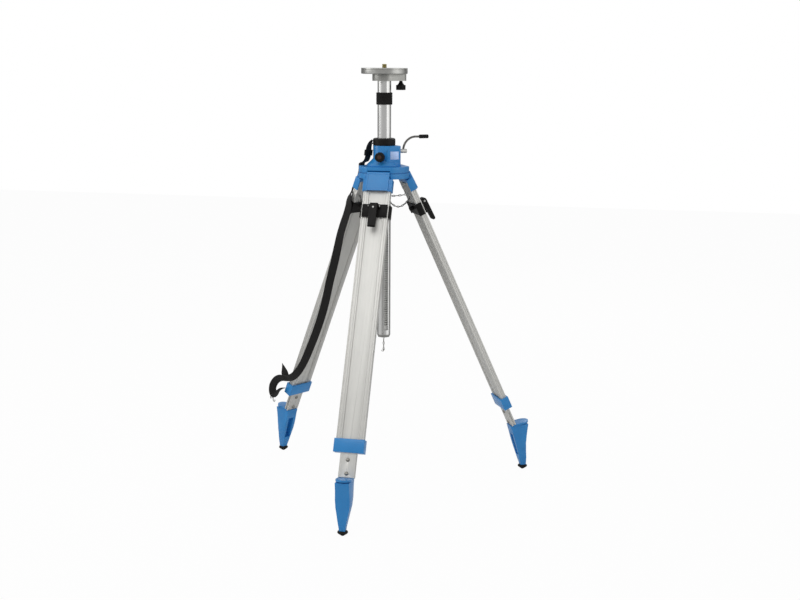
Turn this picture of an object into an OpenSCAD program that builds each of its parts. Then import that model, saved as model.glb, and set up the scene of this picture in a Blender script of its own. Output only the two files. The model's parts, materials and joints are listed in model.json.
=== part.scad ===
// Elevating survey tripod: a cranked, geared centre column in a cast housing and
// crown, on three clamped telescopic legs. Millimetres, +Z up. The origin is the
// point on the ground that is plumb under the column, and the front leg lies along -Y.

/* [Column] */
// Outside diameter of the column tube
tube_d = 46.5; // [40:0.5:56]
// Wall of the column tube
tube_wall = 3; // [2:0.5:4]
// Height of the tube's lower end above the ground
tube_foot_z = 536; // [450:1:640]
// Column showing between the guide collar and the head casting
column_show = 193; // [150:1:260]
// Width of the rack set into the tube
rack_w = 13; // [9:0.5:16]
// Gear module of the rack and its pinion
rack_module = 2.5; // [2:0.25:2.5]
// Teeth of the crank's pinion
pinion_teeth = 10; // [9:1:11]
// Direction that the rack faces, from +X towards +Y
rack_az = -55; // [-70:1:-50]
// Height of the ribbed stop ring
ring_h = 41; // [25:1:50]
// Outside diameter of the ribbed stop ring
ring_d = 55.5; // [52:0.5:64]
// Column showing between the guide collar and the stop ring
ring_gap = 113; // [60:1:130]

/* [Head] */
// Diameter of the head plate
plate_d = 158; // [140:1:180]
// Thickness of the head plate
plate_t = 20; // [14:0.5:24]
// Diameter of the instrument screw
screw_d = 15.875; // [15.875]
// Screw standing proud of the head plate
screw_proud = 13; // [8:0.5:18]
// Height of the gear case under the head plate
case_h = 23; // [21:0.5:30]
// Radius of the gear case round the column
case_r = 41; // [38:0.5:46]
// Gear module of the screw's gears
screw_module = 1.5; // [1.5]
// Teeth of the screw's gear
screw_teeth = 26; // [22:2:28]
// Teeth of the idler between the screw and the knob
idler_teeth = 16; // [14:2:18]
// Teeth of the knob's gear
knob_teeth = 20; // [16:2:20]
// Direction of the gear case's arm
arm_az = 30; // [0:1:60]
// Diameter of the star knob that turns the screw
star_d = 33; // [26:1:40]

/* [Housing] */
// Height of the gear housing over the crown
housing_h = 70; // [64:1:84]
// Radius of the housing round the column
tower_r = 38; // [36:0.5:42]
// Radius of the housing's base
skirt_r = 60; // [56:0.5:68]
// Height of the housing's flared base
skirt_h = 26; // [22:0.5:28]
// Reach of the gear side from the housing's centre, along the crank shaft
gear_reach = 43; // [40:0.5:50]
// Height of the crank shaft over the crown
shaft_h = 52; // [50:0.5:52]
// Diameter of the crank shaft
shaft_d = 12; // [10:0.5:12]
// Height of the guide collar
collar_h = 25; // [18:0.5:32]
// Outside diameter of the guide collar
collar_d = 77; // [70:0.5:84]
// Swing radius of the crank's grip
crank_r = 48; // [40:0.5:60]
// Diameter of the crank's grip
grip_d = 13.4; // [11:0.2:16]
// Length of the crank's grip
grip_len = 33; // [26:0.5:45]
// Diameter of the column lock knob
lock_d = 34; // [26:0.5:35]

/* [Crown] */
// Height of the leg hinges above the ground
hinge_z = 1114; // [1000:1:1200]
// Distance of the leg hinges from the column
hinge_r = 64; // [62:0.5:70]
// Radius of the crown's lobes between the legs
crown_r = 88; // [85:0.5:96]
// Distance of the crown's flat sides over the legs
crown_flat = 77; // [75:0.5:80]
// Height of the crown over the hinges
crown_h = 22; // [20:0.5:28]
// Thickness of the clamp ring under the hinges
clamp_ring_h = 18; // [16:0.5:24]
// Diameter of the hinge pins
pin_d = 9; // [8:0.5:10]

/* [Legs] */
// Lean of the legs from upright
leg_tilt = 24.6; // [20:0.1:27]
// Width over the two rails
leg_w = 92.6; // [84:0.2:100]
// Thickness of the rails
leg_t = 20; // [16:0.5:24]
// Width of each rail
rail_w = 19.3; // [16:0.1:21]
// Lower end of the rails, measured along the leg from the hinge
rail_end = 947; // [800:1:1000]
// Upper end of the clamp, measured along the leg from the hinge
clamp_s = 114; // [106:1:140]
// Length of the clamp along the leg
clamp_len = 44; // [36:1:56]
// Height of the lower collar along the leg
sleeve_h = 44; // [36:1:52]
// Width of the lever
lever_w = 26; // [20:0.5:30]
// Length of the lever
lever_len = 76; // [60:1:100]
// Height of the foot's step over the ground
step_z = 177; // [150:1:190]
// Reach of the foot's step outwards from the leg's centre line
step_reach = 63; // [50:1:66]
// Width of the foot
foot_w = 50; // [46:0.5:60]

/* [Strap and chains] */
// Width of the carrying strap
strap_w = 29; // [20:1:40]
// Thickness of the carrying strap
strap_t = 2.2; // [1.5:0.1:3]
// Diameter over a chain's links
chain_d = 6; // [4:0.5:7]

/* [Hidden] */
$fn = 48;
leg_names = ["front", "right", "left"];
leg_az = [-90, 30, 150];
leg_parts = ["bracket", "rails", "sleeve", "tongue", "clamp", "lever", "tension_knob",
             "foot", "tip", "rivets"];

run = 0.05;             // radial clearance of a running fit
gap = 0.3;              // gap between faces that move past each other
pressure_angle = 25;
addendum = 0.85;        // in modules
dedendum = 1.05;        // in modules
backlash = 0.12;        // taken off each flank

blue = [0.26, 0.53, 0.77];
black = [0.1, 0.1, 0.1];
alu = [0.82, 0.82, 0.8];
steel = [0.66, 0.66, 0.68];
brass = [0.6, 0.53, 0.3];

// heights
crown_top_z = hinge_z + crown_h;
housing_top_z = crown_top_z + housing_h;
collar_top_z = housing_top_z + collar_h;
case_z = collar_top_z + column_show;
plate_z = case_z + case_h;
plate_top_z = plate_z + plate_t;
shaft_z = crown_top_z + shaft_h;
ring_z = collar_top_z + ring_gap;

// column
tube_r = tube_d / 2;
tube_in_r = tube_r - tube_wall;
guide_r = tube_r + run;
rack_tip_r = sqrt(pow(tube_r, 2) - pow(rack_w / 2, 2)) - 0.1;
rack_line_r = rack_tip_r - addendum * rack_module;
rack_back_r = rack_line_r - dedendum * rack_module - 2.5;
rack_z0 = tube_foot_z + 26;
rack_z1 = collar_top_z - 8;
rack_pitch = PI * rack_module;
pinion_r = pinion_teeth * rack_module / 2;
shaft_off = rack_line_r + pinion_r;
pinion_out = pinion_r + addendum * rack_module;
gear_face = shaft_off + pinion_out + 3.6;

bail_z = tube_foot_z + 3;
bail_pin_r = 1.5;

// head
pocket_h = 10;
socket_h = 9;
thread_rise = 0.5;       // of the screw's thread, over the plate
screw_chamfer = 1.2;
gear_t = pocket_h - 2;
screw_gear_r = screw_teeth * screw_module / 2;
idler_r = idler_teeth * screw_module / 2;
knob_gear_r = knob_teeth * screw_module / 2;
idler_off = screw_gear_r + idler_r;
knob_off = idler_off + idler_r + knob_gear_r;
case_screw_pos = [[-29, 16], [-29, -16], [25, 24], [25, -24]];
case_tip_r = knob_gear_r + 3.5;

rod_r = 3.6;
rod_off = 7.5;           // of the rod, along the shaft's head
grip_off = 14;
skirt_lip = 6;
lock_face = tower_r + 12;
plate_mid = 18;
plate_low = shaft_z - 27.5;

seam_h = 3;              // of the rebate between the crown and its clamp ring

// leg
leg_half = leg_w / 2;
rail_in = leg_half - rail_w;
face_n = leg_t / 2;
tongue_w = 2 * (rail_in - gap);
tongue_t = 16;
groove_h = 5.4;
groove_d = 4.5;
bracket_end = 66;
cap_n = 21;              // of the cap's lower edge, out of the leg
bracket_wall = 4.2;
shoulder_s = 24;
rail_top = 34;
rail_wall = 2.8;
face_slot = 2.2;         // width of the rails' face grooves
face_slot_d = 1.4;
knob_s = clamp_s + 17;
ear_r = 6.5;
ear_t = 5;
sleeve_s = rail_end - sleeve_h + 4;
foot_line_r = hinge_r + hinge_z * tan(leg_tilt);
foot_top_s = (hinge_z - step_z) / cos(leg_tilt);
eye_s = 84;
eye_t = 34;
rivet_s = [foot_top_s - 57, foot_top_s - 12.5];
rivet_d = 6.4;
tang_top_s = foot_top_s - 78;
tip_h = 20;
tip_r = 17.5;
tip_in = 34;
step_in = -step_z * tan(leg_tilt);
step_out = step_in + step_reach;

function inv(a) = tan(a) * 180 / PI - a;
function flank(r, z, m) =
    let (rb = z * m / 2 * cos(pressure_angle), q = max(r, rb))
    90 / z + inv(pressure_angle) - inv(acos(rb / q)) - backlash / (z * m / 2) * 180 / PI;
function polar(r, a) = [r * cos(a), r * sin(a)];

// A spur gear's outline, with a tooth centred on +X.
module gear_outline(z, m) {
    r0 = z * m / 2 - dedendum * m;
    r1 = z * m / 2 + addendum * m;
    steps = 5;
    polygon([for (i = [0:z - 1]) let (a = i * 360 / z) each concat(
        [polar(r0, a - flank(r0, z, m))],
        [for (k = [0:steps]) let (r = r0 + 0.4 + (r1 - r0 - 0.4) * k / steps)
            polar(r, a - flank(r, z, m))],
        [for (k = [steps:-1:0]) let (r = r0 + 0.4 + (r1 - r0 - 0.4) * k / steps)
            polar(r, a + flank(r, z, m))],
        [polar(r0, a + flank(r0, z, m))])]);
}

module tube(r_out, r_in, h) {
    difference() {
        cylinder(r = r_out, h = h);
        translate([0, 0, -1]) cylinder(r = r_in, h = h + 2);
    }
}

// A solid of revolution with its upper and lower outer edges rounded by e.
module rounded_disc(r, h, e, bore = 0) {
    rotate_extrude() polygon(concat(
        [[bore, 0], [r - e, 0]], [for (a = [-67.5:22.5:67.5]) [r - e + e * cos(a),
            (a < 0 ? e : h - e) + e * sin(a)]], [[r - e, h], [bore, h]]));
}

// Places its children in a leg's own frame: X out of the leg's outer face, Y across
// the leg, Z up along it, with the hinge pin along Y at the origin.
module in_leg(k) {
    rotate([0, 0, leg_az[k]]) translate([hinge_r, 0, hinge_z]) rotate([0, -leg_tilt, 0])
        children();
}

// Frame on the crank shaft: Z along the shaft, X away from the column.
module on_shaft() {
    rotate([0, 0, rack_az]) translate([shaft_off, 0, shaft_z]) rotate([-90, 0, 0])
        children();
}

// Frame on the lock knob's stud: Z out from the column, over the front leg.
module on_lock() {
    translate([0, 0, crown_top_z + 33.5]) rotate([90, 0, 0]) children();
}

// ---- head ----------------------------------------------------------------------

module head_plate() color(alu) {
    translate([0, 0, plate_z]) difference() {
        rounded_disc(plate_d / 2, plate_t, 1.5);
        translate([0, 0, -1]) cylinder(d = screw_d + 2 * run, h = plate_t + 2);
        rotate([0, 0, arm_az]) for (p = case_screw_pos) translate([p[0], p[1], -1])
            cylinder(d = 5, h = 13);
    }
}

module case_outline(r, tip) {
    hull() {
        circle(r, $fn = 96);
        translate([knob_off, 0]) circle(tip, $fn = 48);
    }
}

module gear_case() color(alu) {
    translate([0, 0, case_z]) rotate([0, 0, arm_az]) difference() {
        linear_extrude(case_h) case_outline(case_r, case_tip_r);
        // pockets for the three gears
        translate([0, 0, case_h - pocket_h]) {
            cylinder(r = screw_gear_r + 3, h = pocket_h + 1);
            difference() {
                translate([idler_off, 0, 0]) cylinder(r = idler_r + 3, h = pocket_h + 1);
                translate([idler_off, 0, -1]) cylinder(d = 7, h = pocket_h + 3);
            }
            translate([knob_off, 0, 0]) cylinder(r = knob_gear_r + 1.8, h = pocket_h + 1);
        }
        // socket for the tube, bearings for the screw and the knob's shaft
        translate([0, 0, -1]) cylinder(r = tube_r, h = socket_h + 1);
        translate([0, 0, socket_h - 1]) cylinder(d = 10 + 2 * run, h = case_h);
        translate([knob_off, 0, -1]) cylinder(d = 8 + 2 * run, h = case_h);
        for (p = case_screw_pos) translate([p[0], p[1], -1]) {
            cylinder(d = 5, h = case_h + 2);
            cylinder(d = 9.5, h = 6);
        }
    }
}

module case_screws() color(steel) {
    translate([0, 0, case_z]) rotate([0, 0, arm_az]) for (p = case_screw_pos)
        translate([p[0], p[1], 0]) {
            translate([0, 0, 1]) cylinder(d = 9, h = 4);
            translate([0, 0, 3]) cylinder(d = 4.9, h = case_h + 7);
        }
}

module instrument_screw() color(brass) {
    floor_z = case_z + case_h - pocket_h;
    translate([0, 0, case_z + socket_h + 0.5]) cylinder(d = 10, h = pocket_h + 3);
    // relieved shank in the plate's bore, then the thread that takes an instrument
    translate([0, 0, floor_z + gear_t + 0.5])
        cylinder(d = screw_d - 0.5, h = plate_top_z + thread_rise - floor_z - gear_t);
    translate([0, 0, plate_top_z + thread_rise])
        cylinder(d = screw_d, h = screw_proud - thread_rise - screw_chamfer);
    translate([0, 0, plate_top_z + screw_proud - screw_chamfer])
        cylinder(d1 = screw_d, d2 = screw_d - 2 * screw_chamfer, h = screw_chamfer);
}

module screw_gear() color(steel) {
    translate([0, 0, case_z + case_h - pocket_h + 0.5]) rotate([0, 0, arm_az]) difference() {
        linear_extrude(gear_t) gear_outline(screw_teeth, screw_module);
        translate([0, 0, -1]) cylinder(d = 10, h = gear_t + 2);
    }
}

module idler_gear() color(steel) {
    translate([0, 0, case_z + case_h - pocket_h + 0.5]) rotate([0, 0, arm_az])
        translate([idler_off, 0, 0]) rotate([0, 0, 180 / idler_teeth]) difference() {
            linear_extrude(gear_t) gear_outline(idler_teeth, screw_module);
            translate([0, 0, -1]) cylinder(d = 7 + 2 * run, h = gear_t + 2);
        }
}

module drive_gear() color(steel) {
    translate([0, 0, case_z]) rotate([0, 0, arm_az]) translate([knob_off, 0, 0]) {
        translate([0, 0, case_h - pocket_h + 0.5]) linear_extrude(gear_t)
            gear_outline(knob_teeth, screw_module);
        translate([0, 0, -17]) cylinder(d = 8, h = 17 + case_h - pocket_h + 1);
    }
}

module screw_knob() color(black) {
    lobes = 8;
    translate([0, 0, case_z]) rotate([0, 0, arm_az]) translate([knob_off, 0, 0]) difference() {
        union() {
            translate([0, 0, -8]) cylinder(d1 = 15, d2 = 10, h = 7.5);
            translate([0, 0, -14]) cylinder(d1 = star_d - 8, d2 = 15, h = 6);
            difference() {
                translate([0, 0, -31]) rounded_disc(star_d / 2, 17, 2);
                for (i = [0:lobes - 1]) rotate([0, 0, (i + 0.5) * 360 / lobes])
                    translate([star_d / 2 + 1.2, 0, -32]) cylinder(r = 3, h = 19);
            }
        }
        translate([0, 0, -17]) cylinder(d = 8, h = 18);
    }
}

// ---- column --------------------------------------------------------------------

module column_tube() color(alu) {
    top = case_z + socket_h;
    difference() {
        translate([0, 0, tube_foot_z + 10]) tube(tube_r, tube_in_r, top - tube_foot_z - 10);
        rotate([0, 0, rack_az]) translate([0, -rack_w / 2, rack_z0])
            cube([tube_r + 1, rack_w, rack_z1 - rack_z0]);
    }
}

// Rack teeth stand away from the column's axis, and a gap faces the shaft at rest.
module column_rack() color(steel) {
    half = rack_pitch / 4 - backlash;
    up = addendum * rack_module;
    down = dedendum * rack_module;
    lean = tan(pressure_angle);
    first = ceil((rack_z0 - shaft_z + rack_pitch) / rack_pitch);
    last = floor((rack_z1 - shaft_z - rack_pitch) / rack_pitch);
    rotate([0, 0, rack_az]) rotate([90, 0, 0]) translate([0, 0, -rack_w / 2])
        linear_extrude(rack_w) polygon(concat(
            [[rack_back_r, rack_z0], [rack_line_r - down, rack_z0]],
            [for (i = [first:last]) let (z = shaft_z + (i + 0.5) * rack_pitch) each [
                [rack_line_r - down, z - half - down * lean],
                [rack_line_r + up, z - half + up * lean],
                [rack_line_r + up, z + half - up * lean],
                [rack_line_r - down, z + half + down * lean]]],
            [[rack_line_r - down, rack_z1], [rack_back_r, rack_z1]]));
}

module stop_ring() color(black) {
    grooves = 4;
    translate([0, 0, ring_z]) difference() {
        rounded_disc(ring_d / 2, ring_h, 2.5, tube_r);
        for (i = [1:grooves]) translate([0, 0, i * ring_h / (grooves + 1) - 1])
            tube(ring_d / 2 + 1, ring_d / 2 - 1.2, 2);
    }
}

module tube_cap() color(alu) {
    translate([0, 0, tube_foot_z]) difference() {
        union() {
            rotate_extrude() polygon(concat([[0, 0]], [for (a = [-90:15:0])
                [tube_r - 9 + 9 * cos(a), 9 + 9 * sin(a)]], [[tube_r, 10], [0, 10]]));
            cylinder(r = tube_in_r, h = 24);
        }
        translate([0, 0, -1]) cylinder(r = 11, h = 10);
    }
    // cross pin that the plumb bail hangs from
    translate([0, 12, bail_z]) rotate([90, 0, 0]) cylinder(r = bail_pin_r, h = 24);
}

// A wire bail over the cap's cross pin, with the plumb line's hook below it.
module plumb_hook() color(steel) translate([0, 0, bail_z]) {
    wire = 0.9;
    bend = bail_pin_r + wire + 0.25;
    drop = 22;
    hook = 3.5;
    hook_top = drop + 32;
    rotate([90, 0, 0]) rotate_extrude(angle = 180) translate([bend, 0]) circle(wire);
    for (m = [0, 1]) mirror([m, 0, 0]) hull() {
        translate([bend, 0, 0]) sphere(wire, $fn = 16);
        translate([0.6, 0, -drop]) sphere(wire, $fn = 16);
    }
    translate([0, 0, -hook_top]) cylinder(r = 1.3, h = hook_top - drop);
    translate([-hook, 0, -hook_top]) rotate([90, 0, 0]) rotate_extrude(angle = -210)
        translate([hook, 0]) circle(1);
}

// ---- housing and crown ---------------------------------------------------------

module housing_outline() {
    hull() {
        circle(tower_r, $fn = 96);
        rotate(rack_az) for (p = [[gear_face - 8, -9 + 8], [gear_face - 8, gear_reach - 8],
                                  [6, gear_reach - 8]])
            translate(p) circle(8, $fn = 32);
    }
}

module housing() color(blue) {
    difference() {
        union() {
            translate([0, 0, crown_top_z]) {
                linear_extrude(housing_h) housing_outline();
                rotate_extrude($fn = 96) polygon([[0, 0], [skirt_r - 1, 0], [skirt_r, 1],
                    [skirt_r, skirt_lip - 1.5], [skirt_r - 1.5, skirt_lip],
                    [tower_r + 3, skirt_h - 3], [tower_r - 0.5, skirt_h + 2], [0, skirt_h]]);
            }
            on_lock() cylinder(d = 21, h = lock_face);
        }
        // way of the column
        translate([0, 0, crown_top_z - 1]) cylinder(r = tube_r + 1.5, h = housing_h + 2);
        // pinion's chamber, and the shaft's bearings on both sides of it
        on_shaft() {
            translate([0, 0, -8]) cylinder(r = pinion_out + 0.8, h = 16);
            translate([0, 0, -14.4]) cylinder(d = shaft_d + 2 * run, h = gear_reach + 30);
        }
        on_lock() {
            cylinder(d = 10 + 2 * run, h = lock_face + 1);
            cylinder(d = 18, h = tube_r + 6.3);
        }
        housing_screws(crown_top_z - 1, 16, 5);
        rotate([0, 0, rack_az]) translate([gear_face - 0.6, plate_mid - 15, plate_low])
            cube([2, 30, 27]);
    }
}

module guide_collar() color(black) {
    translate([0, 0, housing_top_z]) difference() {
        rounded_disc(collar_d / 2, collar_h, 3, guide_r);
        translate([0, 0, collar_h / 2 - 1]) tube(collar_d / 2 + 1, collar_d / 2 - 0.8, 1.6);
    }
    // eye for the strap
    rotate([0, 0, 196]) translate([collar_d / 2 - 1, 0, housing_top_z + 11])
        rotate([90, 0, 0]) translate([0, 0, -6]) difference() {
            cylinder(r = 6, h = 12);
            translate([2, 0, -1]) cylinder(r = 2.2, h = 14);
        }
}

module crown_outline() {
    difference() {
        circle(crown_r, $fn = 120);
        for (a = leg_az) rotate(a) translate([crown_flat, -60]) square([30, 120]);
    }
}

// Three screws that hold the housing from below the crown.
module housing_screws(z, h, d) {
    for (a = leg_az) rotate([0, 0, a + 60]) translate([42, 0, z]) cylinder(d = d, h = h);
}

module name_plate() color(alu) rotate([0, 0, rack_az])
    translate([gear_face - 0.6, plate_mid - 15, plate_low]) cube([1.4, 30, 27]);

// Room for a leg's barrel between two lobes.
module leg_slots(z, h) {
    for (a = leg_az) rotate([0, 0, a]) translate([hinge_r - barrel_room(), -slot_half(), z])
        cube([60, 2 * slot_half(), h]);
}
function barrel_r() = pin_d / 2 + 5;
function barrel_room() = barrel_r() + 1.2;
function slot_half() = 39.5;

module pin_bores() {
    for (a = leg_az) rotate([0, 0, a]) translate([hinge_r, 0, hinge_z]) rotate([90, 0, 0])
        translate([0, 0, -50]) cylinder(d = pin_d, h = 100);
}

module bolt_ways(z, h, d) {
    for (a = leg_az) rotate([0, 0, a + 60]) translate([crown_r - 14, 0, z])
        cylinder(d = d, h = h);
}

module crown() color(blue) {
    difference() {
        translate([0, 0, hinge_z]) linear_extrude(crown_h) crown_outline();
        translate([0, 0, hinge_z - 1]) cylinder(r = guide_r, h = crown_h + 2);
        translate([0, 0, hinge_z - 1]) linear_extrude(seam_h + 1) difference() {
            circle(crown_r + 5);
            offset(-seam_h) crown_outline();
        }
        leg_slots(hinge_z - 1, barrel_room() + 1);
        pin_bores();
        bolt_ways(hinge_z - 1, 15, 7);
        housing_screws(hinge_z - 1, crown_h + 2, 5);
        housing_screws(hinge_z - 1, 6, 9);
    }
}

module clamp_ring() color(blue) {
    difference() {
        translate([0, 0, hinge_z - clamp_ring_h]) linear_extrude(clamp_ring_h)
            crown_outline();
        translate([0, 0, hinge_z - clamp_ring_h - 1]) cylinder(r = tube_r + 4,
            h = clamp_ring_h + 2);
        leg_slots(hinge_z - clamp_ring_h - 1, clamp_ring_h + 2);
        pin_bores();
        bolt_ways(hinge_z - clamp_ring_h - 1, clamp_ring_h + 2, 7);
        bolt_ways(hinge_z - clamp_ring_h - 1, 7, 13);
    }
}

module crown_bolts() color(steel) {
    bolt_ways(hinge_z - clamp_ring_h + 0.5, 5.5, 12);
    bolt_ways(hinge_z - clamp_ring_h + 5, clamp_ring_h + 8, 6.9);
    housing_screws(hinge_z + 0.5, 4.5, 8.6);
    housing_screws(hinge_z + 4, crown_h + 9, 4.9);
}

module hinge_pins() color(steel) {
    for (a = leg_az) rotate([0, 0, a]) translate([hinge_r, 0, hinge_z]) rotate([90, 0, 0])
        translate([0, 0, -49.5]) cylinder(d = pin_d, h = 99);
}

// ---- crank and lock ------------------------------------------------------------

// At rest a tooth points at the column, into the rack's gap.
module pinion_shaft() color(steel) on_shaft() {
    translate([0, 0, -6]) rotate([0, 0, 180]) linear_extrude(12)
        gear_outline(pinion_teeth, rack_module);
    translate([0, 0, -14]) cylinder(d = shaft_d, h = gear_reach + 22);
    translate([0, 0, gear_reach + 7]) difference() {
        cylinder(d = shaft_d + 2.4, h = 18.5);
        translate([0, 10, rod_off]) rotate([90, 0, 0]) cylinder(r = rod_r, h = 20);
    }
}

// A rod that stands up in the shaft's head, turns a quarter and runs level to the grip.
module crank_arm() color(black) on_shaft() {
    stand = 3;
    bend = crank_r - stand;
    translate([0, 0, gear_reach + 7 + rod_off]) {
        translate([0, 6, 0]) rotate([90, 0, 0]) cylinder(r = rod_r, h = 6 + stand);
        translate([0, -stand, bend]) rotate([0, 90, 0]) rotate_extrude(angle = -90)
            translate([bend, 0]) circle(rod_r);
        translate([0, -crank_r, bend]) cylinder(r = rod_r, h = grip_off + grip_len - 4);
    }
}

module crank_grip() color(black) on_shaft() {
    translate([0, -crank_r, gear_reach + 7 + rod_off + crank_r - 3 + grip_off]) difference() {
        rounded_disc(grip_d / 2, grip_len, 2);
        translate([0, 0, -1]) cylinder(r = rod_r + run, h = grip_len - 2.7);
    }
}

module lock_knob() color(black) on_lock() {
    flutes = 12;
    translate([0, 0, tube_r + 5.6]) cylinder(d = 10, h = lock_face - tube_r);
    translate([0, 0, lock_face + gap]) cylinder(d = 19, h = 4);
    difference() {
        translate([0, 0, lock_face + 4]) rounded_disc(lock_d / 2, 15, 3);
        for (i = [0:flutes - 1]) rotate([0, 0, i * 360 / flutes])
            translate([lock_d / 2 + 1.4, 0, lock_face + 3]) cylinder(r = 2.6, h = 18);
    }
    translate([0, 0, lock_face + 18]) cylinder(d1 = 15, d2 = 13, h = 2);
}

module brake_shoe() color(brass) on_lock() {
    difference() {
        cylinder(d = 17.9, h = tube_r + 5.6);
        translate([0, 60, 0]) rotate([90, 0, 0]) cylinder(r = tube_r + gap, h = 120);
    }
}

// ---- legs ----------------------------------------------------------------------

// The bracket's cap stands off the rails' outer face and is open below.
module leg_bracket() color(blue) {
    cap_w = 39;
    side = leg_half + gap / 3;
    outer = [[6, 4], [15, 1], [17.5, -2], [cap_n, -bracket_end], [cap_n - 4, -bracket_end],
             [14, -12], [10.2, -13]];
    difference() {
        union() {
            rotate([90, 0, 0]) translate([0, 0, -cap_w + gap]) cylinder(r = barrel_r(),
                h = 2 * (cap_w - gap));
            translate([-face_n, -cap_w + gap, -rail_top]) cube([face_n + 9,
                2 * (cap_w - gap), rail_top]);
            translate([0, cap_w, 0]) rotate([90, 0, 0]) linear_extrude(2 * cap_w)
                polygon(outer);
            // sides of the cap
            for (m = [0, 1]) mirror([0, m, 0]) translate([0, cap_w, 0]) rotate([90, 0, 0])
                linear_extrude(bracket_wall) polygon([[face_n + 0.1, -12], [15, -6],
                    [cap_n, -bracket_end], [face_n + 0.1, -bracket_end]]);
            // cheeks round the rails' edges
            for (m = [0, 1]) mirror([0, m, 0]) {
                translate([-face_n, side, -bracket_end]) cube([2 * face_n + 4,
                    bracket_wall, bracket_end - shoulder_s]);
                translate([face_n + 0.1, cap_w - bracket_wall, -bracket_end])
                    cube([4, side + 2 * bracket_wall - cap_w, bracket_end - shoulder_s]);
            }
            // shoulders that tie the cheeks to the barrel's block
            for (m = [0, 1]) mirror([0, m, 0]) translate([-face_n, cap_w - 3, -rail_top])
                cube([2 * face_n + 4, side + bracket_wall - cap_w + 3, rail_top - shoulder_s]);
        }
        rotate([90, 0, 0]) translate([0, 0, -60]) cylinder(d = pin_d + 2 * run, h = 120);
    }
}

// Two rails with ribs that run in the tongue's grooves, in the bracket above and
// the sleeve below.
module leg_rails() color(alu) {
    top = rail_top + 0.1;
    rib = groove_h / 2 - gap;
    for (m = [0, 1]) mirror([0, m, 0]) translate([0, 0, -rail_end]) linear_extrude(
        rail_end - top) difference() {
            union() {
                translate([-face_n, rail_in]) square([leg_t, rail_w]);
                translate([-rib, rail_in - groove_d + 0.8]) square([2 * rib, groove_d]);
            }
            // hollow and long grooves of the extrusion
            translate([-face_n + rail_wall, rail_in + rail_wall])
                square([leg_t - 2 * rail_wall, rail_w - 2 * rail_wall]);
            for (t = [rail_in + 4, leg_half - 6]) translate([face_n - face_slot_d, t])
                square([2, face_slot]);
            translate([-face_n - 1, rail_in + 4]) square([1 + face_slot_d, face_slot]);
            translate([-4, leg_half - 1]) square([2.2, 2]);
            translate([2, leg_half - 1]) square([2.2, 2]);
        }
}

module leg_sleeve() color(blue) {
    wall = 4.3;
    difference() {
        translate([-face_n - wall - 1, -leg_half - wall, -sleeve_s - sleeve_h])
            cube([leg_t + 2 * wall + 2, leg_w + 2 * wall, sleeve_h]);
        translate([-face_n, -leg_half, -rail_end]) cube([leg_t, leg_w, rail_end]);
        translate([-tongue_t / 2 - gap, -tongue_w / 2 - gap, -sleeve_s - sleeve_h - 1])
            cube([tongue_t + 2 * gap, tongue_w + 2 * gap, sleeve_h]);
        translate([-face_n - 1, -leg_half + 10, -sleeve_s - sleeve_h + 8])
            cube([leg_t + 2, leg_w - 20, sleeve_h]);
    }
}

module leg_tongue() color(alu) {
    top = rail_top + 6;
    difference() {
        translate([0, 0, -foot_top_s]) linear_extrude(foot_top_s - top) difference() {
            translate([-tongue_t / 2, -tongue_w / 2]) square([tongue_t, tongue_w]);
            for (m = [0, 1]) mirror([0, m]) translate([-groove_h / 2,
                tongue_w / 2 - groove_d]) square([groove_h, groove_d + 1]);
            translate([-tongue_t / 2 + 2.5, -tongue_w / 2 + groove_d + 2.5])
                square([tongue_t - 5, tongue_w - 2 * groove_d - 5]);
        }
        for (s = rivet_s) translate([-20, 0, -s]) rotate([0, 90, 0])
            cylinder(d = rivet_d, h = 40);
    }
}

// The clamp is fixed to the tongue's upper end and grips the rails from both faces.
module leg_clamp() color(black) {
    side = leg_half + gap;
    plate = 6;
    z0 = -clamp_s - clamp_len;
    pad_n = face_n + gap - tongue_t / 2 + 1;
    difference() {
        union() {
            // outer plate and its pad on the tongue
            translate([face_n + gap, -leg_half + 3, z0]) cube([plate, leg_w - 6, clamp_len]);
            translate([tongue_t / 2, -rail_in + 2, z0 + 4]) cube([pad_n, 2 * rail_in - 4,
                clamp_len - 8]);
            for (m = [0, 1]) mirror([0, m, 0]) translate([0, lever_w / 2 + gap, 0]) {
                translate([face_n + gap + plate - 1, 0, lever_pivot() - ear_r])
                    cube([lever_n() - face_n - gap - plate + 1, ear_t, 2 * ear_r]);
                translate([lever_n(), 0, lever_pivot()]) rotate([-90, 0, 0])
                    cylinder(r = ear_r, h = ear_t);
            }
            // stirrup round the back, with the other pad
            translate([-face_n - gap - plate, -side, z0 + 3]) cube([plate, 2 * side,
                clamp_len - 6]);
            translate([-face_n - gap - 1, -rail_in + 2, z0 + 4]) cube([pad_n,
                2 * rail_in - 4, clamp_len - 8]);
            for (m = [0, 1]) mirror([0, m, 0]) translate([-face_n - gap - plate, side, z0])
                cube([2 * face_n + gap + plate - 4, 6, clamp_len]);
        }
        translate([lever_n(), 0, lever_pivot()]) rotate([90, 0, 0]) translate([0, 0, -30])
            cylinder(d = 6 + 2 * run, h = 60);
        translate([-face_n - gap - plate - 1, 0, -knob_s]) rotate([0, 90, 0])
            cylinder(d = 6 + 2 * run, h = plate);
    }
}
function lever_n() = face_n + 18;
function lever_pivot() = -clamp_s - 10;

module leg_lever() color(black) {
    head_r = 11;
    tip = 6;
    translate([lever_n(), 0, lever_pivot()]) rotate([90, 0, 0])
        translate([0, 0, -lever_w / 2]) {
            cylinder(r = head_r, h = lever_w);
            translate([0, 0, -ear_t]) cylinder(d = 6, h = lever_w + 2 * ear_t);
            linear_extrude(lever_w) polygon([[head_r, 0], [head_r + 3, tip - lever_len],
                [head_r - 2 * tip + 3, tip - lever_len], [-4, -head_r + 1]]);
            translate([head_r - tip + 3, tip - lever_len, 0]) cylinder(r = tip, h = lever_w);
        }
}

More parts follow.
